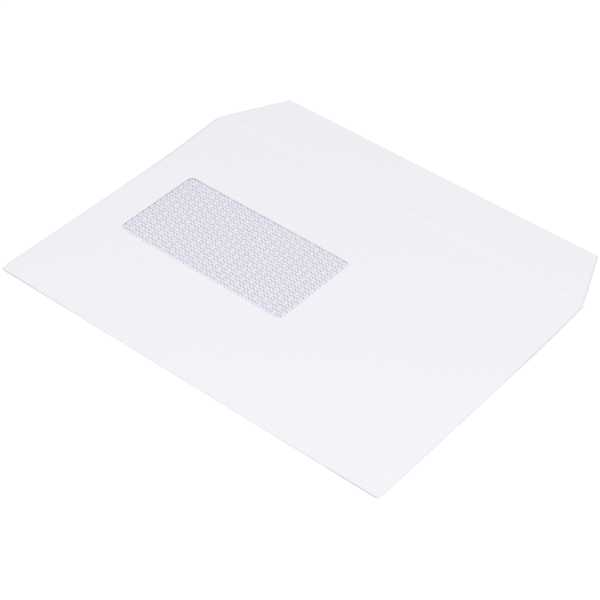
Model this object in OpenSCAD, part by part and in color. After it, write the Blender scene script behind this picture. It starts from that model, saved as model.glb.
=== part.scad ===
// Window envelope of one folded sheet, lying face up with its closing flap open.
// X runs along the long side, Y from the bottom fold to the free edge of the closing flap.
// The pocket lies flat, and near the crease its mouth stands a little open.

/* [Envelope] */
// Length over the two side folds
envelope_l = 229; // [200:1:260]
// Height from the bottom fold to the crease of the closing flap
envelope_h = 162; // [145:1:200]
// Thickness of the paper
paper_t = 0.12; // [0.1:0.01:0.16]
// How far a fold presses the paper in on each face
squeeze = 0.01; // [0.005:0.001:0.015]
// Clear gap between the front panel and the side flaps, where the pocket lies flat
pocket_gap = 0.24; // [0.2:0.02:0.4]
// Distance from the crease down to the line where the front panel starts to rise
mouth = 36; // [30:1:50]
// How far the front panel rises from that line to the crease
crease_rise = 2.8; // [1:0.1:3.5]

/* [Closing flap] */
// Depth from the crease to the free edge
flap_depth = 38.5; // [30:0.5:60]
// How far each slanted end runs in from the side fold
flap_taper = 16; // [6:0.5:25]
// Radius of the two free corners
flap_corner_r = 1.5; // [0.5:0.5:6]
// Distance below the crease at which the left slanted end starts
left_shoulder = 3.5; // [0.6:0.1:4]
// Distance below the crease at which the right slanted end starts
right_shoulder = 1; // [0.6:0.1:4]
// Width of the ridge that the crease leaves
crease_w = 0.7; // [0.4:0.1:1.2]
// Height of that ridge
crease_ridge = 0.05; // [0.02:0.01:0.08]

/* [Back panel] */
// Distance from the crease down to the top edge of the back panel
throat = 15; // [8:1:25]
// Distance from the side folds in to the edges of the back panel
back_inset = 2; // [1:0.5:4]
// Radius of the two top corners
back_corner_r = 8; // [2:1:15]

/* [Side flaps] */
// Width from the side fold to the inner edge
side_flap_w = 18; // [16:0.5:20]
// Height above the bottom fold at which the side folds start
side_fold_start = 3.5; // [2:0.5:6]
// Angle at which a side flap slopes down from its fold to the back panel, at the open mouth
side_slope = 18; // [15:1:20]
// How far the lower end of a side flap slants up to its inner edge
side_slant_low = 6; // [2:1:12]
// How far the upper end of a side flap slants down to its inner edge
side_slant_top = 11; // [2:1:16]
// Radius of the two inner corners
side_corner_r = 4; // [1:0.5:6]

/* [Seam glue] */
// Width of the glue strip under each side flap
seam_glue_w = 8; // [5:0.5:9]
// Thickness of the glue strip
seam_glue_t = 0.04; // [0.03:0.01:0.06]
// Distance from the inner edge of the side flap to the glue
seam_margin = 1.5; // [1:0.5:2]
// Distance from the ends of the side flap's inner edge to the ends of the glue
seam_end = 5; // [3:1:12]

/* [Window] */
// Length of the window
window_w = 103; // [60:0.5:120]
// Height of the window
window_h = 54; // [30:0.5:70]
// Distance from the left side fold to the window
window_left = 21.5; // [20:0.5:60]
// Distance from the bottom fold to the window
window_up = 60.5; // [40:0.5:75]
// Radius of the window's corners
window_r = 3; // [1:0.5:8]
// How far the film reaches past the window on every side
film_margin = 9; // [7:0.5:12]
// Thickness of the film
film_t = 0.04; // [0.03:0.01:0.06]
// Width of the glue frame
film_glue_w = 5; // [3:0.5:6]
// Distance from the window's edge to the glue frame
film_glue_gap = 1; // [0.5:0.5:1.5]
// Thickness of the glue frame
film_glue_t = 0.03; // [0.02:0.01:0.05]

/* [Flap gum] */
// Width of the gum band
gum_w = 12; // [6:1:16]
// Thickness of the gum band
gum_t = 0.03; // [0.02:0.01:0.05]
// Distance from the free edge to the gum
gum_setback = 4; // [2:0.5:8]
// Distance from the slanted ends of the closing flap to the gum
gum_end = 6; // [3:0.5:12]

/* [Hidden] */

// Steps of a rounded corner, over its whole turn
corner_steps = 10;
// Sides of the circles that make up the folds
fold_sides = 48;
// How far cutting shapes reach past what they cut
over = 1;
// How far a fold's ends are let into the panels that it joins
let_in = 0.3;
// How far the two lengths of a side fold lap, and a side flap's flat stays back from where its slope lands
lap = 0.05;

half_l = envelope_l / 2;

// Bottom fold: a half ring between the back panel and the front panel
fold_h = 3 * paper_t + seam_glue_t + pocket_gap;
fold_r = fold_h / 2 - squeeze;
fold_t = paper_t - 2 * squeeze;

// Front panel and closing flap
mouth_y = envelope_h - mouth;
mouth_slope = atan(crease_rise / mouth);
crease_z = fold_h + crease_rise;
flap_reach = sqrt(flap_depth * flap_depth - (crease_z - paper_t) * (crease_z - paper_t));
free_y = envelope_h + flap_reach;
crease_near = envelope_h - crease_w / 2;
crease_far = envelope_h + crease_w / 2;
flap_half_l = half_l - flap_taper;

// Back panel
back_half_l = half_l - back_inset;
back_top = envelope_h - throat;

// Side folds and side flaps
side_flap_z = paper_t + seam_glue_t;
side_r = (fold_h - side_flap_z) / 2 - squeeze;
side_x = half_l - side_r;
side_z = fold_h - squeeze - side_r;
mouth_fold_r = side_r - squeeze / 2;
slope_w = (crease_z - side_flap_z) / sin(side_slope);
side_inner = half_l - side_flap_w;
side_low = side_fold_start + side_slant_low;
seam_low = side_low + seam_end;
seam_top = envelope_h - max(left_shoulder, right_shoulder) - side_slant_top - seam_end;

// Window, with its corner nearest to the left side fold and the bottom fold
window_x = window_left - half_l;
window_y = window_up;
glue_in = film_glue_gap;
glue_out = film_glue_gap + film_glue_w;

// Middle of the lying envelope, which is moved to the origin
mid_y = free_y / 2;

// Heights of the outer face of the front panel and of the closing flap
function front_z(y) = fold_h + crease_rise * max(0, y - mouth_y) / mouth;
function flap_z(y) = crease_z - (crease_z - paper_t) * (y - envelope_h) / flap_reach;

// Where the slope of a side flap lands on the level of the side flap's underside
function landing_x(y) = side_x + mouth_fold_r * sin(side_slope)
    - (front_z(y) - fold_h + side_z - mouth_fold_r * cos(side_slope) - side_flap_z) / tan(side_slope);

// Points of the arc that rounds the corner b between a and c to the radius r
function unit(v) = v / norm(v);
function rounded(a, b, c, r) =
    let (
        u = unit(a - b),
        v = unit(c - b),
        half = acos(u * v) / 2,
        centre = b + unit(u + v) * r / sin(half),
        from = b + u * r / tan(half) - centre,
        turn = (u[0] * v[1] - u[1] * v[0] > 0 ? -1 : 1) * (180 - 2 * half)
    )
    [for (i = [0:corner_steps])
        let (s = turn * i / corner_steps)
        centre + [from[0] * cos(s) - from[1] * sin(s), from[0] * sin(s) + from[1] * cos(s)]];

// An outline whose corners are rounded, each to its own radius, or left sharp where that is zero
function outline(corners, radii) =
    let (n = len(corners))
    [for (i = [0:n - 1])
        each radii[i] > 0
            ? rounded(corners[(i + n - 1) % n], corners[i], corners[(i + 1) % n], radii[i])
            : [corners[i]]];

function rectangle(x, y, w, h) = [[x, y], [x + w, y], [x + w, y + h], [x, y + h]];

// Moves the lying envelope from its bottom fold at Y = 0 to its place round the origin
module placed() {
    translate([0, -mid_y, 0])
        children();
}

// A section in Y and Z, drawn out along X over the whole length
module along_x(half) {
    translate([-half, 0, 0])
        rotate([90, 0, 90])
            linear_extrude(2 * half)
                children();
}

// A plan outline, drawn up through the whole height
module through_z() {
    translate([0, 0, -over])
        linear_extrude(crease_z + 2 * over)
            children();
}

// A layer of the thickness t, depth below the outer face of the front panel
module under_front(depth, t) {
    along_x(half_l)
        polygon([
            [fold_r, fold_h - depth - t],
            [mouth_y, fold_h - depth - t],
            [crease_near, front_z(crease_near) - depth - t],
            [crease_near, front_z(crease_near) - depth],
            [mouth_y, fold_h - depth],
            [fold_r, fold_h - depth]
        ]);
}

// Section of the front panel and the closing flap, bent at the crease, which leaves a low ridge
module front_section() {
    polygon([
        [fold_r, fold_h - paper_t],
        [mouth_y, fold_h - paper_t],
        [crease_near, front_z(crease_near) - paper_t],
        [envelope_h, crease_z + crease_ridge - paper_t],
        [crease_far, flap_z(crease_far) - paper_t],
        [free_y, flap_z(free_y) - paper_t],
        [free_y, flap_z(free_y)],
        [crease_far, flap_z(crease_far)],
        [envelope_h, crease_z + crease_ridge],
        [crease_near, front_z(crease_near)],
        [mouth_y, fold_h],
        [fold_r, fold_h]
    ]);
}

// Plan of the front panel and the closing flap
module front_plan() {
    polygon(outline(
        [
            [-side_x, 0],
            [side_x, 0],
            [side_x, envelope_h - right_shoulder],
            [flap_half_l, free_y],
            [-flap_half_l, free_y],
            [-side_x, envelope_h - left_shoulder]
        ],
        [0, 0, 0, flap_corner_r, flap_corner_r, 0]
    ));
}

module window_plan(margin, r) {
    polygon(outline(
        rectangle(window_x - margin, window_y - margin, window_w + 2 * margin, window_h + 2 * margin),
        [r, r, r, r]
    ));
}

module front_and_flap() {
    difference() {
        intersection() {
            along_x(half_l)
                front_section();
            through_z()
                front_plan();
        }
        through_z()
            window_plan(0, window_r);
    }
}

// Section of a flat fold: a half ring, with straight ends that are let into the two panels
module fold_section(r) {
    difference() {
        circle(r, $fn = fold_sides);
        circle(r - fold_t, $fn = fold_sides);
        translate([-2 * r, -2 * r])
            square([2 * r, 4 * r]);
    }
    translate([-let_in, r - fold_t])
        square([let_in, fold_t]);
    translate([-let_in, -r])
        square([let_in, fold_t]);
}

module bottom_fold() {
    along_x(back_half_l)
        translate([fold_r, fold_h / 2])
            rotate(180)
                fold_section(fold_r);
}

module back_panel() {
    linear_extrude(paper_t)
        polygon(outline(
            rectangle(-back_half_l, fold_r, 2 * back_half_l, back_top - fold_r),
            [0, 0, back_corner_r, back_corner_r]
        ));
}

// Section of a side fold at the open mouth, where the ring runs on as the slope down to the back panel
module mouth_section() {
    r = mouth_fold_r;
    difference() {
        circle(r, $fn = fold_sides);
        circle(r - fold_t, $fn = fold_sides);
        polygon([
            [0, 0],
            [0, 2 * r],
            [-2 * r, 2 * r],
            [-2 * r, -2 * r],
            [2 * r * sin(side_slope), -2 * r * cos(side_slope)]
        ]);
    }
    translate([-let_in, r - fold_t])
        square([let_in, fold_t]);
    rotate(side_slope)
        translate([-slope_w, -r])
            square([slope_w, fold_t]);
}

// A section drawn out along the right side fold from y over the length l, rising at the angle up
module along_side(y, l, up) {
    translate([side_x, y, side_z + (y - mouth_y) * tan(up)])
        rotate([90 + up, 0, 0])
            translate([0, 0, -l])
                linear_extrude(l)
                    children();
}

// The side fold at the mouth, cut off where its slope reaches the underside of the side flap
module mouth_fold(shoulder_y) {
    difference() {
        along_side(mouth_y - lap, (shoulder_y - mouth_y + lap) / cos(mouth_slope), mouth_slope)
            mouth_section();
        translate([0, 0, side_flap_z - crease_z])
            cube([envelope_l, envelope_h, crease_z]);
    }
}

// The right side flap with its fold, up to shoulder_y. The left one is a mirror image.
module side_flap(shoulder_y) {
    intersection() {
        union() {
            along_side(side_fold_start, mouth_y - side_fold_start, 0)
                fold_section(side_r);
            mouth_fold(shoulder_y);
            translate([0, 0, side_flap_z])
                linear_extrude(paper_t)
                    polygon([
                        [side_inner, side_fold_start],
                        [side_x, side_fold_start],
                        [side_x, mouth_y - 2 * lap],
                        [landing_x(mouth_y) - lap, mouth_y - 2 * lap],
                        [landing_x(shoulder_y) - lap, shoulder_y],
                        [side_inner, shoulder_y]
                    ]);
        }
        through_z()
            polygon(outline(
                [
                    [side_inner, side_low],
                    [half_l + over, side_fold_start],
                    [half_l + over, shoulder_y],
                    [side_inner, shoulder_y - side_slant_top]
                ],
                [side_corner_r, 0, 0, side_corner_r]
            ));
    }
}

module folded_sheet() {
    color([0.95, 0.94, 0.96])
        placed() {
            front_and_flap();
            bottom_fold();
            back_panel();
            side_flap(envelope_h - right_shoulder);
            mirror([1, 0, 0])
                side_flap(envelope_h - left_shoulder);
        }
}

module window_film() {
    color([0.82, 0.81, 0.88])
        placed()
            intersection() {
                under_front(paper_t + film_glue_t, film_t);
                through_z()
                    window_plan(film_margin, 0);
            }
}

module film_glue() {
    color([0.93, 0.91, 0.8])
        placed()
            intersection() {
                under_front(paper_t, film_glue_t);
                through_z()
                    difference() {
                        window_plan(glue_out, window_r);
                        window_plan(glue_in, window_r);
                    }
            }
}

// The strip of glue on the right, between the side flap and the back panel
module seam_glue() {
    translate([side_inner + seam_margin, seam_low, paper_t])
        cube([seam_glue_w, seam_top - seam_low, seam_glue_t]);
}

module right_seam_glue() {
    color([0.93, 0.91, 0.8])
        placed()
            seam_glue();
}

module left_seam_glue() {
    color([0.93, 0.91, 0.8])
        placed()
            mirror([1, 0, 0])
                seam_glue();
}

// The gum lies on the inner face of the closing flap, which faces down while the flap is open
module flap_gum() {
    gum_top = free_y - gum_setback;
    gum_low = gum_top - gum_w;
    run_in = flap_taper / flap_reach;
    gum_half = flap_half_l - gum_end;
    color([0.93, 0.91, 0.8])
        placed()
            intersection() {
                along_x(half_l)
                    polygon([
                        [crease_far, flap_z(crease_far) - paper_t - gum_t],
                        [free_y, flap_z(free_y) - paper_t - gum_t],
                        [free_y, flap_z(free_y) - paper_t],
                        [crease_far, flap_z(crease_far) - paper_t]
                    ]);
                through_z()
                    polygon([
                        [-gum_half - run_in * (gum_setback + gum_w), gum_low],
                        [gum_half + run_in * (gum_setback + gum_w), gum_low],
                        [gum_half + run_in * gum_setback, gum_top],
                        [-gum_half - run_in * gum_setback, gum_top]
                    ]);
            }
}

folded_sheet();
window_film();
film_glue();
left_seam_glue();
right_seam_glue();
flap_gum();
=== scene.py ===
import math

import bmesh
import bpy
from mathutils import Matrix, Vector, noise


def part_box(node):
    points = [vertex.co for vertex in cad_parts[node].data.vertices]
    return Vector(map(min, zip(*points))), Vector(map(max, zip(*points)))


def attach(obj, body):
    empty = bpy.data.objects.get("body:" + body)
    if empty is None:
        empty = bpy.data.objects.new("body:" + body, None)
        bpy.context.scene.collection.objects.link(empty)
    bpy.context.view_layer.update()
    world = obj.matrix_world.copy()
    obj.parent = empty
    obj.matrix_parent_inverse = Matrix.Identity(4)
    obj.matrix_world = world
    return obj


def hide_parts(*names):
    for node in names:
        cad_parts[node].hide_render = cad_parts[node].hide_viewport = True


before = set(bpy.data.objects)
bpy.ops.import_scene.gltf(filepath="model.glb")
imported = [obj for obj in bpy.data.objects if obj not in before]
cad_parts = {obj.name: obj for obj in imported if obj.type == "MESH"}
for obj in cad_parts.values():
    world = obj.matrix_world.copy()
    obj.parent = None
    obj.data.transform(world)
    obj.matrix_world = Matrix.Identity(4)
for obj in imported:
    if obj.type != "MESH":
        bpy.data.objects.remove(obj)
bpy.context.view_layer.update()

# The folded sheet: one piece of white wove paper, die-cut flat with its window hole, printed on the
# inside with a security hatch, scored, and folded into front panel, back panel, side flaps and
# closing flap. The blank is drawn flat round the front panel, in millimetres, and then folded.
low, high = (corner * 1000 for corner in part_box("folded_sheet"))
paper_t = 0.12
half_l = high.x

# The pocket, its bottom fold and the back panel, which ends a throat below the crease
pocket_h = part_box("film_glue")[1].z * 1000 + paper_t
fold_r = pocket_h / 2
fold_y = low.y + fold_r
panel_h = 162
throat = 15
back_half_l = half_l - 2
back_h = panel_h - throat - fold_r
back_corner_r = 8
corner_segments = 8

# The scored crease, the open mouth of the pocket below it and the closing flap beyond it
crease_y = low.y + panel_h
crease_ridge = 0.05
crease_w = 0.8
crease_z = high.z - crease_ridge
ridge_uneven, ridge_wave = 0.25, 4
mouth_y = low.y + 114
mouth_curve = 1.35
flap_depth = 38.5
flap_half_l = half_l - 16
flap_corner_r = 1.5
flap_slope = math.asin((crease_z - paper_t) / flap_depth)
left_shoulder = 3.5
right_shoulder = 1

# The side folds and the side flaps, and how far in from them the pocket is pressed thinner
side_r = 0.24
side_x = half_l - side_r
side_flap_w = 18
side_fold_start = low.y + 3.5
side_slant_low = 6
side_slant_top = 11
side_corner_r = 4
side_land = 8
pressed_by, pressed_from, pressed_over = 0.3, 12, 24

# The window hole
window_w, window_h = 103, 54
window_x = 21.5 - half_l
window_y = low.y + 60.5
window_r = 3

# Length of paper that goes round a fold, along the middle of its thickness
bottom_arc = math.pi * (fold_r - paper_t / 2)
side_arc = math.pi * (side_r - paper_t / 2)

# Where the back panel and the side flaps start on the flat blank, and where the side flaps end
back_start = fold_y - bottom_arc
side_start = side_x + side_arc
side_end = side_start + side_flap_w - side_r

# Unevenness of the sheet: its scale and height, and how far from a fold or free edge it fades out
panel_ripple, panel_ripple_h = 45, 0.015
flap_ripple, flap_ripple_h = 30, 0.08
calm_by_side, calm_by_fold = 25, 15
calm_by_crease, calm_by_free_edge = flap_depth / 4, flap_depth / 3


def steps(start, stop, most):
    """Evenly spaced places from start to stop, no further apart than most"""
    count = math.ceil(abs(stop - start) / most)
    return [start + (stop - start) * i / count for i in range(count + 1)]


def ease(t):
    """A rise from 0 to 1 that starts and ends gently"""
    t = min(max(t, 0), 1)
    return t * t * (3 - 2 * t)


def ripple(x, y, size, height):
    """Faint unevenness of a sheet that has been handled"""
    smoothness, finer_by, octaves = 0.8, 2.0, 2
    return height * noise.fractal(Vector((x / size, y / size, 0.5)), smoothness, finer_by, octaves)


def front_top(x, y):
    """Height of the front panel's outer face: flat, then curving up to the crease over the mouth.
    Between the side flaps, where there are fewer layers, the pocket is pressed a bit thinner."""
    rise = max(0, (y - mouth_y) / (crease_y - mouth_y)) ** mouth_curve
    from_side = side_x - abs(x)
    middle = ease((from_side - pressed_from) / pressed_over)
    pocket = pocket_h - pressed_by * middle * (1 - rise)
    uneven = (
        ease(from_side / calm_by_side) * ease((y - fold_y) / calm_by_fold)
        * ease((crease_y - y) / calm_by_fold))
    return (
        pocket + (crease_z - pocket_h) * rise
        + uneven * ripple(x, y, panel_ripple, panel_ripple_h))


def flap_top(x, y):
    """Height of the closing flap's outer face, which slopes from the crease to the table"""
    from_crease = y - crease_y
    from_edge = flap_depth - from_crease
    uneven = ease(from_crease / calm_by_crease) * ease(from_edge / calm_by_free_edge)
    slope = crease_z - from_crease * math.sin(flap_slope)
    return slope + uneven * ripple(x, y, flap_ripple, flap_ripple_h)


def lie(point):
    """Where a point of the flat blank lies once folded. Its depth below the outer face is -z."""
    x, y, depth = point.x, point.y, -point.z
    if y >= crease_y:
        z = flap_top(x, y)
        place = Vector((x, crease_y + (y - crease_y) * math.cos(flap_slope), z - depth))
    elif y >= fold_y:
        place = Vector((x, y, front_top(x, y) - depth))
    elif y >= back_start:
        turn = math.pi * (fold_y - y) / bottom_arc
        middle = front_top(x, fold_y) / 2
        r = middle - depth
        place = Vector((x, fold_y - r * math.sin(turn), middle + r * math.cos(turn)))
    else:
        place = Vector((x, fold_y + (back_start - y), depth))
    ridge = max(0, 1 - abs(y - crease_y) / (crease_w / 2))
    full = 1 - ridge_uneven + ridge_uneven * noise.noise(Vector((x / ridge_wave, 0, 0)))
    place.z += crease_ridge * ease(ridge) * full
    beyond = abs(x) - side_x
    if beyond > 0 and y < crease_y:
        top = front_top(x, y)
        if beyond < side_arc:
            turn = math.pi * beyond / side_arc
            r = side_r - depth
            place.x = side_x + r * math.sin(turn)
            place.z = top - side_r + r * math.cos(turn)
        else:
            inward = beyond - side_arc
            lifted = (top - pocket_h) * (1 - ease(inward / side_land))
            place.x = side_x - inward
            place.z = pocket_h - 2 * side_r + lifted + depth
        place.x = math.copysign(place.x, x)
    return place


def cut_outline(bm, corners, radii):
    """Adds a flat outline to the mesh as a face, with its corners rounded"""
    verts = [bm.verts.new((x, y, 0)) for x, y in corners]
    bm.faces.new(verts)
    for vert, radius in zip(verts, radii):
        if radius:
            a, b = (edge.other_vert(vert).co - vert.co for edge in vert.link_edges)
            bmesh.ops.bevel(
                bm, geom=[vert], offset=radius / math.tan(a.angle(b) / 2), offset_type="OFFSET",
                segments=corner_segments, profile=0.5, affect="VERTICES", material=-1)


def fill_blank(bm):
    """Fills the flat outlines, leaving the inner ones as holes"""
    bmesh.ops.delete(bm, geom=bm.faces[:], context="FACES_ONLY")
    bmesh.ops.triangle_fill(
        bm, use_beauty=False, use_dissolve=False, edges=bm.edges[:], normal=(0, 0, 1))


nearly = 1e-4


def score(bm, places, axis):
    """Cuts a flat mesh along straight lines at the given places on an axis"""
    for place in places:
        bmesh.ops.bisect_plane(
            bm, geom=[*bm.verts, *bm.edges, *bm.faces], dist=nearly,
            plane_co=Vector(axis) * place, plane_no=axis)


def is_slanted(edge):
    """Whether an edge inside the mesh runs along neither axis"""
    run = (edge.verts[0].co - edge.verts[1].co).xy
    return not edge.is_boundary and min(abs(run.x), abs(run.y)) > nearly


def clear_diagonals(bm):
    """Dissolves what the filling left between the scored lines"""
    slanted = [edge for edge in bm.edges if is_slanted(edge)]
    bmesh.ops.dissolve_edges(bm, edges=slanted, use_verts=False)
    spare = [vert for vert in bm.verts if len(vert.link_edges) == 2 and not vert.is_boundary]
    bmesh.ops.dissolve_verts(bm, verts=spare)


def thicken(bm, thickness):
    """Gives a flat mesh its thickness below, with its underside and rim as materials 1 and 2"""
    made = bmesh.ops.extrude_face_region(bm, geom=bm.faces[:], use_keep_orig=True)
    under = [part for part in made["geom"] if isinstance(part, bmesh.types.BMVert)]
    bmesh.ops.translate(bm, verts=under, vec=(0, 0, -thickness))
    bmesh.ops.recalc_face_normals(bm, faces=bm.faces[:])
    upright = 0.5
    for face in bm.faces:
        face.smooth = True
        face.material_index = 2 if abs(face.normal.z) < upright else 0 if face.normal.z > 0 else 1
    for edge in bm.edges:
        if len({face.material_index for face in edge.link_faces}) > 1:
            edge.smooth = False


def map_flat(bm):
    """Keeps each point's place on the flat blank, in metres, as a UV map"""
    layer = bm.loops.layers.uv.new("blank")
    for face in bm.faces:
        for loop in face.loops:
            loop[layer].uv = loop.vert.co.xy / 1000


def fold_and_finish(bm, name, materials):
    """Folds the flat mesh, turns millimetres to metres and makes the piece"""
    for vert in bm.verts:
        vert.co = lie(vert.co)
    bmesh.ops.scale(bm, vec=(0.001, 0.001, 0.001), verts=bm.verts)
    mesh = bpy.data.meshes.new(name)
    bm.to_mesh(mesh)
    bm.free()
    for material in materials:
        mesh.materials.append(material)
    piece = bpy.data.objects.new(name, mesh)
    bpy.context.scene.collection.objects.link(piece)
    return piece


def add_node(tree, kind, inputs=None, **settings):
    """A shader node with its settings, and its inputs as values or as other nodes' outputs"""
    node = tree.nodes.new("ShaderNode" + kind)
    for name, value in settings.items():
        setattr(node, name, value)
    for key, value in (inputs or {}).items():
        if isinstance(value, bpy.types.NodeSocket):
            tree.links.new(value, node.inputs[key])
        else:
            node.inputs[key].default_value = value
    return node


def noise_over(tree, vector, scale, detail, **more):
    """The output of a Noise Texture node"""
    return add_node(tree, "TexNoise", {
        "Vector": vector, "Scale": scale, "Detail": detail, **more}).outputs["Fac"]


def sum_up(tree, operation, *values):
    """The output of a Math node"""
    return add_node(tree, "Math", dict(enumerate(values)), operation=operation).outputs[0]


def within(tree, value, full, none):
    """1 where a value is at full or beyond, 0 at none or beyond, and evenly between the two"""
    return add_node(tree, "MapRange", {
        "Value": value, "From Min": none, "From Max": full}).outputs[0]


def start_group(name, inputs, outputs):
    """An empty node group with float or vector inputs and float outputs"""
    tree = bpy.data.node_groups.new(name, "ShaderNodeTree")
    for label, kind, value in inputs:
        socket = tree.interface.new_socket(label, in_out="INPUT", socket_type=kind)
        if value is not None:
            socket.default_value = value
    for label in outputs:
        tree.interface.new_socket(label, in_out="OUTPUT", socket_type="NodeSocketFloat")
    return tree, tree.nodes.new("NodeGroupInput").outputs, tree.nodes.new("NodeGroupOutput").inputs


def paper_fibres():
    """Tone and height of wove paper: cloudy patches, matted fibres and fine tooth"""
    tree, given, out = start_group(
        "paper_fibres",
        [("Vector", "NodeSocketVector", None), ("Cloud", "NodeSocketFloat", 0.02)],
        ["Tone", "Height"])
    cloud = noise_over(tree, given["Vector"], 260, 4, Roughness=0.6)
    lengthways = add_node(tree, "Mapping", {
        "Vector": given["Vector"], "Scale": (500, 2600, 1)}).outputs[0]
    across = add_node(tree, "Mapping", {
        "Vector": given["Vector"], "Rotation": (0, 0, 1.1), "Scale": (600, 2400, 1)}).outputs[0]
    strands = [noise_over(tree, vector, 1, 2, Distortion=1.5) for vector in (lengthways, across)]
    matted = sum_up(tree, "MAXIMUM", *strands)
    tooth = noise_over(tree, given["Vector"], 5200, 2)
    cloud_share, tooth_share = 0.7, 0.4
    cloudy = sum_up(tree, "MULTIPLY", cloud, cloud_share)
    patches = sum_up(tree, "MULTIPLY_ADD", matted, 1 - cloud_share, cloudy)
    uneven = sum_up(tree, "SUBTRACT", patches, 0.5)
    tree.links.new(sum_up(tree, "MULTIPLY_ADD", uneven, given["Cloud"], 1), out["Tone"])
    toothed = sum_up(tree, "MULTIPLY", tooth, tooth_share)
    tree.links.new(
        sum_up(tree, "MULTIPLY_ADD", matted, 1 - tooth_share, toothed), out["Height"])
    return tree


def security_hatch():
    """Where the ink lies: rows of short wavy dashes, every other row moved along by half a dash"""
    row, dash, gap, wave, swing, width = 0.00213, 0.0088, 0.0012, 0.0022, 0.00045, 0.00085
    blur = 0.00008
    tree, given, out = start_group(
        "security_hatch", [("Vector", "NodeSocketVector", None)], ["Ink"])
    place = add_node(tree, "SeparateXYZ", {0: given["Vector"]}).outputs
    rows = sum_up(tree, "DIVIDE", place["Y"], row)
    number = sum_up(tree, "FLOOR", rows)
    shift = sum_up(tree, "MULTIPLY", sum_up(tree, "PINGPONG", number, 1), dash / 2)
    along = sum_up(tree, "ADD", place["X"], shift)
    in_dash = sum_up(tree, "WRAP", along, dash, 0)
    waving = sum_up(tree, "SINE", sum_up(tree, "MULTIPLY", in_dash, math.tau / wave))
    bend = sum_up(tree, "MULTIPLY", waving, swing)
    from_row = sum_up(tree, "SUBTRACT", sum_up(tree, "FRACT", rows), 0.5)
    in_row = sum_up(tree, "MULTIPLY", from_row, row)
    from_stroke = sum_up(tree, "ABSOLUTE", sum_up(tree, "SUBTRACT", in_row, bend))
    from_middle = sum_up(tree, "ABSOLUTE", sum_up(tree, "SUBTRACT", in_dash, dash / 2))
    stroke = within(tree, from_stroke, width / 2 - blur, width / 2 + blur)
    inked = within(tree, from_middle, (dash - gap) / 2 - blur, (dash - gap) / 2 + blur)
    tree.links.new(sum_up(tree, "MULTIPLY", stroke, inked), out["Ink"])
    return tree


fibres = paper_fibres()
hatch = security_hatch()


def crease_painted_highlight(tree, vector):
    """Where a painted highlight lies along the scored crease: a thin wavering light line that comes
    and goes, and fades towards its ends"""
    core, edge, waver_by = 0.00015, 0.00065, 0.0012
    patch_full, patch_none = 0.6, 0.3
    fades_from, gone_at = side_x - 9, side_x - 1
    place = add_node(tree, "SeparateXYZ", {0: vector}).outputs
    along = add_node(tree, "CombineXYZ", {"X": place["X"]}).outputs[0]
    waver = noise_over(tree, along, 180, 3)
    patchy = noise_over(tree, along, 420, 2)
    from_crease = sum_up(tree, "SUBTRACT", place["Y"], crease_y / 1000)
    wavering = sum_up(tree, "MULTIPLY_ADD", waver, waver_by, -waver_by / 2)
    off = sum_up(tree, "ABSOLUTE", sum_up(tree, "ADD", from_crease, wavering))
    line = within(tree, off, core, edge)
    shown = within(tree, patchy, patch_full, patch_none)
    from_middle = sum_up(tree, "ABSOLUTE", place["X"])
    in_from_ends = within(tree, from_middle, fades_from / 1000, gone_at / 1000)
    return sum_up(tree, "MULTIPLY", sum_up(tree, "MULTIPLY", line, shown), in_from_ends)


def fold_painted_shade(tree, vector):
    """Where painted shade lies: thin dark lines along the sheet's folds, strongest towards the
    pocket's corners, and along the right end of the closing flap"""
    core, edge = 0.0002, 0.0006
    left_in, right_in, bottom_in, end_in = 0.4, -0.1, 0.15, 0.35
    unshaded_y, shaded_y, unshaded_x, shaded_x = low.y + 85, low.y + 115, 50, 80
    place = add_node(tree, "SeparateXYZ", {0: vector}).outputs
    patchy = noise_over(tree, vector, 90, 3)
    left_fold = sum_up(tree, "ADD", place["X"], (side_x - left_in) / 1000)
    right_fold = sum_up(tree, "SUBTRACT", place["X"], (side_x - right_in) / 1000)
    bottom_fold = sum_up(tree, "SUBTRACT", place["Y"], (fold_y - bottom_in) / 1000)
    from_middle = sum_up(tree, "ABSOLUTE", place["X"])
    run = (side_x - flap_half_l) / (flap_depth + right_shoulder)
    end_x = side_x + run * (crease_y - right_shoulder) - end_in
    slant = sum_up(tree, "MULTIPLY_ADD", place["Y"], run, place["X"])
    flap_end = sum_up(tree, "SUBTRACT", slant, end_x / 1000)
    shade_so_far = 0
    for off, along, unshaded, shaded in (
            (left_fold, place["Y"], unshaded_y, shaded_y),
            (right_fold, place["Y"], unshaded_y, shaded_y),
            (bottom_fold, from_middle, unshaded_x, shaded_x),
            (flap_end, place["Y"], crease_y, crease_y + 2)):
        line = within(tree, sum_up(tree, "ABSOLUTE", off), core, edge)
        part = within(tree, along, shaded / 1000, unshaded / 1000)
        shade_so_far = sum_up(tree, "MAXIMUM", shade_so_far, sum_up(tree, "MULTIPLY", line, part))
    return sum_up(tree, "MULTIPLY", shade_so_far, patchy)


def tint(tree, colour, shade):
    """A colour made lighter or darker over the surface"""
    return add_node(tree, "VectorMath", {0: colour, "Scale": shade}, operation="SCALE").outputs[0]


def mix_in(tree, base, colour, mask):
    """A colour laid over another where a mask shows it"""
    return add_node(tree, "Mix", {
        "Factor": mask, 6: base, 7: (*colour, 1)}, data_type="RGBA").outputs[2]


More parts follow.
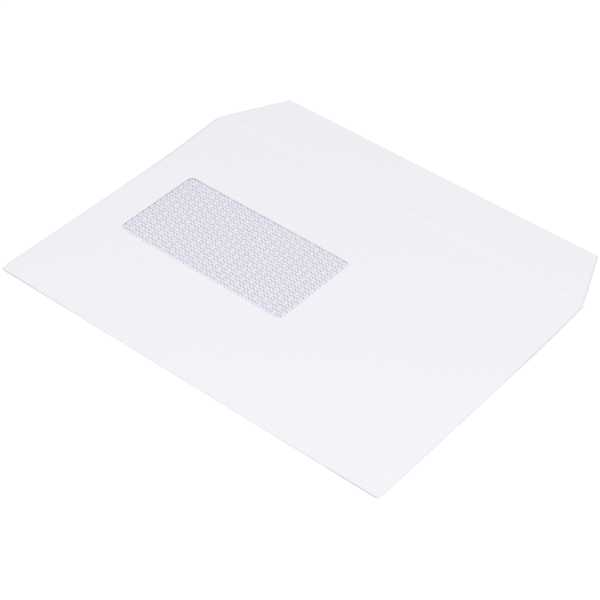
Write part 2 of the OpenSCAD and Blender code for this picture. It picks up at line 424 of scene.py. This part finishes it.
def paper_material(name, coordinates, colour, cloud, relief, ink=None, painted_highlight=None, painted_shade=None):
    """Matte paper, with the printed hatch, a painted highlight along the crease or painted shade
    along the folds mixed in where they show
    """
    material = bpy.data.materials.new(name)
    material.use_nodes = True
    tree = material.node_tree
    surface = tree.nodes["Principled BSDF"]
    if coordinates == "blank":
        vector = add_node(tree, "UVMap", uv_map="blank").outputs[0]
    else:
        vector = add_node(tree, "TexCoord").outputs["Object"]
    grain = add_node(tree, "Group", node_tree=fibres)
    tree.links.new(vector, grain.inputs["Vector"])
    grain.inputs["Cloud"].default_value = cloud
    tinted = tint(tree, colour, grain.outputs["Tone"])
    if ink:
        print_on = add_node(tree, "Group", node_tree=hatch)
        tree.links.new(vector, print_on.inputs["Vector"])
        tinted = mix_in(tree, tinted, ink, print_on.outputs["Ink"])
    if painted_highlight:
        # Painted highlight: a lighter line along the crease stands in for the light its ridge
        # catches
        tinted = mix_in(tree, tinted, painted_highlight, crease_painted_highlight(tree, vector))
    if painted_shade:
        # Painted shade: darker lines along the folds and the flap's right end stand in for their
        # shaded sides
        tinted = mix_in(tree, tinted, painted_shade, fold_painted_shade(tree, vector))
    tree.links.new(tinted, surface.inputs["Base Color"])
    surface.inputs["Roughness"].default_value = 0.85
    surface.inputs["Specular IOR Level"].default_value = 0.3
    bump = add_node(tree, "Bump", {
        "Height": grain.outputs["Height"], "Strength": relief, "Distance": 0.00002})
    tree.links.new(bump.outputs[0], surface.inputs["Normal"])
    return material


# The outer face carries a painted highlight along the crease and painted shade along the folds
white_outside = paper_material(
    "white_outside", "blank", colour=(0.885, 0.868, 0.91), cloud=0.03, relief=0.3,
    painted_highlight=(0.94, 0.925, 0.945), painted_shade=(0.66, 0.67, 0.72))
printed_inside = paper_material(
    "printed_inside", "blank", colour=(0.88, 0.86, 0.93), cloud=0.03, relief=0.3,
    ink=(0.6, 0.59, 0.68))
cut_edge = paper_material(
    "cut_edge", "object", colour=(0.87, 0.85, 0.88), cloud=0.06, relief=0.6)


def blank_side(side, shoulder):
    """The blank's corners up one side, from the back panel to the closing flap, with their radii"""
    return [
        ((side * back_half_l, back_start - back_h), back_corner_r),
        ((side * back_half_l, fold_y), 0),
        ((side * side_x, fold_y), 0),
        ((side * side_x, side_fold_start), 0),
        ((side * side_end, side_fold_start + side_slant_low), side_corner_r),
        ((side * side_end, crease_y - shoulder - side_slant_top), side_corner_r),
        ((side * side_start, crease_y - shoulder), 0),
        ((side * side_x, crease_y - shoulder), 0),
        ((side * flap_half_l, crease_y + flap_depth), flap_corner_r),
    ]


blank = bmesh.new()
corners = blank_side(1, right_shoulder) + blank_side(-1, left_shoulder)[::-1]
cut_outline(blank, *zip(*corners))
window_corners = [
    (window_x, window_y), (window_x + window_w, window_y),
    (window_x + window_w, window_y + window_h), (window_x, window_y + window_h)]
cut_outline(blank, window_corners, [window_r] * 4)
fill_blank(blank)

# The blank's mesh is cut finely where it bends and widely where it lies flat
across_step, side_flap_step, fold_step = 4, 1.5, 0.08
back_step, panel_step, crease_step = 6, 3, 0.12
crease_low, crease_high = crease_y - crease_w / 2, crease_y + crease_w / 2
side_fold_lines = steps(side_x, side_start, fold_step)
side_flap_lines = steps(side_start, side_end, side_flap_step)[:-1]
across_lines = steps(-side_x, side_x, across_step)
for lines in (side_fold_lines, side_flap_lines):
    for side in (1, -1):
        across_lines += [side * place for place in lines]
lengthways_lines = (
    steps(back_start - back_h, back_start, back_step)[1:]
    + steps(back_start, fold_y, fold_step)
    + steps(fold_y, crease_low, panel_step)
    + steps(crease_low, crease_high, crease_step)
    + steps(crease_high, crease_y + flap_depth, panel_step)[:-1])
score(blank, across_lines, (1, 0, 0))
score(blank, lengthways_lines, (0, 1, 0))
clear_diagonals(blank)
map_flat(blank)
thicken(blank, paper_t)
sheet = fold_and_finish(blank, "paper_sheet", [white_outside, printed_inside, cut_edge])
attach(sheet, "root")
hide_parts("folded_sheet")

# The glue that holds the film: a thin frame of dried adhesive, rolled on round the window hole on
# the inside of the front panel before the film is laid on it.
film_glue_t = 0.03
glue_gap, glue_w = 1, 5
glue_reach = glue_gap + glue_w
glue_step = 5


def glue_material(name, colour, roughness):
    """Dried adhesive, slightly uneven, with faint streaks along the roller's way"""
    material = bpy.data.materials.new(name)
    material.use_nodes = True
    tree = material.node_tree
    surface = tree.nodes["Principled BSDF"]
    place = add_node(tree, "TexCoord").outputs["Object"]
    streaked = add_node(tree, "Mapping", {"Vector": place, "Scale": (120, 900, 120)}).outputs[0]
    streaks = noise_over(tree, streaked, 1, 4)
    beads = noise_over(tree, place, 1400, 3)
    tone_change, roughness_change, bead_share = 0.12, 0.15, 0.5
    from_mean = sum_up(tree, "SUBTRACT", streaks, 0.5)
    shade = sum_up(tree, "MULTIPLY_ADD", from_mean, tone_change, 1)
    tree.links.new(tint(tree, colour, shade), surface.inputs["Base Color"])
    tree.links.new(
        sum_up(tree, "MULTIPLY_ADD", streaks, roughness_change, roughness),
        surface.inputs["Roughness"])
    height = sum_up(tree, "ADD", streaks, sum_up(tree, "MULTIPLY", beads, bead_share))
    bump = add_node(tree, "Bump", {"Height": height, "Strength": 0.4, "Distance": 0.00002})
    tree.links.new(bump.outputs[0], surface.inputs["Normal"])
    return material


dried_glue = glue_material("dried_glue", colour=(0.86, 0.83, 0.7), roughness=0.35)
window_middle = Vector((window_x + window_w / 2, window_y + window_h / 2, 0))
glue_frame = bmesh.new()
for reach in (glue_reach, glue_gap):
    frame_corners = [
        (x + math.copysign(reach, x - window_middle.x),
         y + math.copysign(reach, y - window_middle.y))
        for x, y in window_corners]
    cut_outline(glue_frame, frame_corners, [window_r] * 4)
fill_blank(glue_frame)
glue_across = steps(window_x - glue_reach, window_x + window_w + glue_reach, glue_step)
glue_along = steps(window_y - glue_reach, window_y + window_h + glue_reach, glue_step)
score(glue_frame, glue_across, (1, 0, 0))
score(glue_frame, glue_along, (0, 1, 0))
clear_diagonals(glue_frame)
thicken(glue_frame, film_glue_t)
bmesh.ops.translate(glue_frame, verts=glue_frame.verts, vec=(0, 0, -paper_t))
glue_frame_piece = fold_and_finish(glue_frame, "glue_round_window", [dried_glue] * 3)
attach(glue_frame_piece, "root")
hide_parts("film_glue")

# The window film: a patch of thin clear polystyrene, laid on the glue frame behind the hole. It is
# drawn tight by its edges, and sags and cockles a little in between.
film_t = 0.04
film_margin = 9
film_sag, film_uneven = 0.01, 0.6
sag_over, cockle = 18, 14


def film_material():
    """Clear film: it lets the light straight through, and mirrors more at a slant"""
    material = bpy.data.materials.new("clear_film")
    material.use_nodes = True
    tree = material.node_tree
    tree.nodes.remove(tree.nodes["Principled BSDF"])
    place = add_node(tree, "TexCoord").outputs["Object"]
    cockles = noise_over(tree, place, 90, 2)
    scuffs = noise_over(tree, place, 1500, 3)
    bump = add_node(tree, "Bump", {
        "Height": cockles, "Strength": 0.3, "Distance": 0.0004}).outputs[0]
    outer_face = sum_up(tree, "SUBTRACT", 1, add_node(tree, "NewGeometry").outputs["Backfacing"])
    slant = add_node(tree, "Fresnel", {"IOR": 1.59, "Normal": bump}).outputs[0]
    mirror = sum_up(tree, "MULTIPLY", slant, outer_face)
    smooth, scuffed = 0.04, 0.1
    gloss = add_node(tree, "BsdfGlossy", {
        "Color": (1, 1, 1, 1), "Normal": bump,
        "Roughness": sum_up(tree, "MULTIPLY_ADD", scuffs, scuffed - smooth, smooth)})
    clear = add_node(tree, "BsdfTransparent", {"Color": (0.985, 0.985, 0.99, 1)})
    mixed = add_node(tree, "MixShader", {"Fac": mirror, 1: clear.outputs[0], 2: gloss.outputs[0]})
    tree.links.new(mixed.outputs[0], tree.nodes["Material Output"].inputs["Surface"])
    return material


film = bmesh.new()
film_w, film_h = window_w + 2 * film_margin, window_h + 2 * film_margin
film_size = Matrix.Diagonal((film_w / 2, film_h / 2, 1, 1))
bmesh.ops.create_grid(
    film, x_segments=40, y_segments=24, size=1,
    matrix=Matrix.Translation(window_middle) @ film_size)
thicken(film, film_t)
for vert in film.verts:
    off_middle = vert.co - window_middle
    from_edge = min(window_w / 2 - abs(off_middle.x), window_h / 2 - abs(off_middle.y))
    uneven = 0.7 + film_uneven * noise.noise(vert.co / cockle)
    vert.co.z -= paper_t + film_glue_t + ease(from_edge / sag_over) * film_sag * uneven
film_piece = fold_and_finish(film, "clear_window_film", [film_material()] * 3)
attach(film_piece, "root")
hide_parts("window_film")

# The seam glue: two strips of dried adhesive, one under each side flap, that hold the side flaps
# down on the inside of the back panel and so close the pocket.
for name in ("left_seam_glue", "right_seam_glue"):
    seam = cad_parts[name]
    seam.data.materials.clear()
    seam.data.materials.append(dried_glue)

# The flap gum: a band of remoistenable gum, coated along the free edge on the inside of the closing
# flap and dried to a faint gloss. It faces the table while the flap lies open.
gum_t = 0.03
gum_w = 12
gum_setback = 4
gum_end = 6
gum_corner_r = 1
gum_step = 2
gum_top = crease_y + flap_depth - gum_setback
gum_low = gum_top - gum_w
run_in = (half_l - flap_half_l) / flap_depth


def gum_half(y):
    """Half the gum's length at a place on the flap, which narrows to its free edge"""
    return flap_half_l - gum_end + run_in * (crease_y + flap_depth - y)


gum = bmesh.new()
gum_corners = [
    (-gum_half(gum_low), gum_low), (gum_half(gum_low), gum_low),
    (gum_half(gum_top), gum_top), (-gum_half(gum_top), gum_top)]
cut_outline(gum, gum_corners, [gum_corner_r] * 4)
score(gum, steps(-gum_half(gum_low), gum_half(gum_low), across_step)[1:-1], (1, 0, 0))
score(gum, steps(gum_low, gum_top, gum_step)[1:-1], (0, 1, 0))
thicken(gum, gum_t)
bmesh.ops.translate(gum, verts=gum.verts, vec=(0, 0, -paper_t))
dried_gum = glue_material("dried_gum", colour=(0.85, 0.81, 0.66), roughness=0.18)
gum_piece = fold_and_finish(gum, "gum_band", [dried_gum] * 3)
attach(gum_piece, "root")
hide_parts("flap_gum")

# The studio, in metres: a plain pale floor just under the envelope, a pale surround that sheds a
# little more light from the far side, and one large soft lamp at the near right. Where the camera
# sees them, also through the film or in its gloss, the floor and the surround are plain white.
floor_half_l, floor_drop = 4, 0.00005
floor_tone, floor_tone_seen, floor_glow_seen = 0.65, 0.25, 0.8
surround, more_from_far = 0.745, 0.22


def seen_directly(tree):
    """1 for what the camera sees, also in the film, and 0 for the light that falls on things"""
    paths = add_node(tree, "LightPath").outputs
    second_hand = sum_up(tree, "MAXIMUM", paths["Is Glossy Ray"], paths["Is Transmission Ray"])
    return sum_up(tree, "MAXIMUM", paths["Is Camera Ray"], second_hand)


floor_mesh = bmesh.new()
bmesh.ops.create_grid(floor_mesh, x_segments=1, y_segments=1, size=floor_half_l)
bmesh.ops.translate(floor_mesh, verts=floor_mesh.verts, vec=(0, 0, -floor_drop))
mesh = bpy.data.meshes.new("floor")
floor_mesh.to_mesh(mesh)
floor_mesh.free()
floor = bpy.data.objects.new("floor", mesh)
bpy.context.scene.collection.objects.link(floor)
pale = bpy.data.materials.new("pale_floor")
pale.use_nodes = True
tree = pale.node_tree
surface = tree.nodes["Principled BSDF"]
surface.inputs["Roughness"].default_value = 0.9
surface.inputs["Specular IOR Level"].default_value = 0.1
surface.inputs["Emission Color"].default_value = (1, 1, 1, 1)
seen = seen_directly(tree)
tone = sum_up(tree, "MULTIPLY_ADD", seen, floor_tone_seen - floor_tone, floor_tone)
tree.links.new(tone, surface.inputs["Base Color"])
tree.links.new(sum_up(tree, "MULTIPLY", seen, floor_glow_seen), surface.inputs["Emission Strength"])
mesh.materials.append(pale)

world = bpy.data.worlds.new("studio")
bpy.context.scene.world = world
world.use_nodes = True
tree = world.node_tree
way = add_node(tree, "TexCoord").outputs["Generated"]
towards_far = add_node(tree, "SeparateXYZ", {0: way}).outputs["Y"]
shed = sum_up(tree, "MULTIPLY_ADD", towards_far, more_from_far * surround, surround)
strength = add_node(tree, "Mix", {"Factor": seen_directly(tree), 2: shed, 3: 1.0}).outputs[0]
tree.links.new(strength, tree.nodes["Background"].inputs["Strength"])
tree.nodes["Background"].inputs["Color"].default_value = (1, 1, 1, 1)

lamp = bpy.data.lights.new("soft_lamp", "AREA")
lamp.size = 0.8
lamp.energy = 3.6
lamp_object = bpy.data.objects.new("soft_lamp", lamp)
lamp_object.location = (0.26, -0.33, 0.95)
lamp_object.rotation_euler = (-lamp_object.location).to_track_quat("-Z", "Y").to_euler()
bpy.context.scene.collection.objects.link(lamp_object)

# The camera, at the photograph's viewing angle: it looks down on the envelope from the near right,
# turned a little about its own axis. Its place is given by where it aims and how far off it stands.
aim = Vector((0.00817, -0.02238, 0))
azimuth, elevation, roll = (math.radians(angle) for angle in (37.277, 41.591, 2.707))
distance = 0.90999
camera = bpy.data.cameras.new("camera")
camera.lens = 114.539
camera.sensor_width = 36
turned = (
    Matrix.Rotation(azimuth, 4, "Z") @ Matrix.Rotation(math.pi / 2 - elevation, 4, "X")
    @ Matrix.Rotation(roll, 4, "Z"))
camera_object = bpy.data.objects.new("camera", camera)
camera_object.matrix_world = Matrix.Translation(aim) @ turned @ Matrix.Translation((0, 0, distance))
bpy.context.scene.collection.objects.link(camera_object)
bpy.context.scene.camera = camera_object
bpy.context.scene.view_settings.view_transform = "Standard"
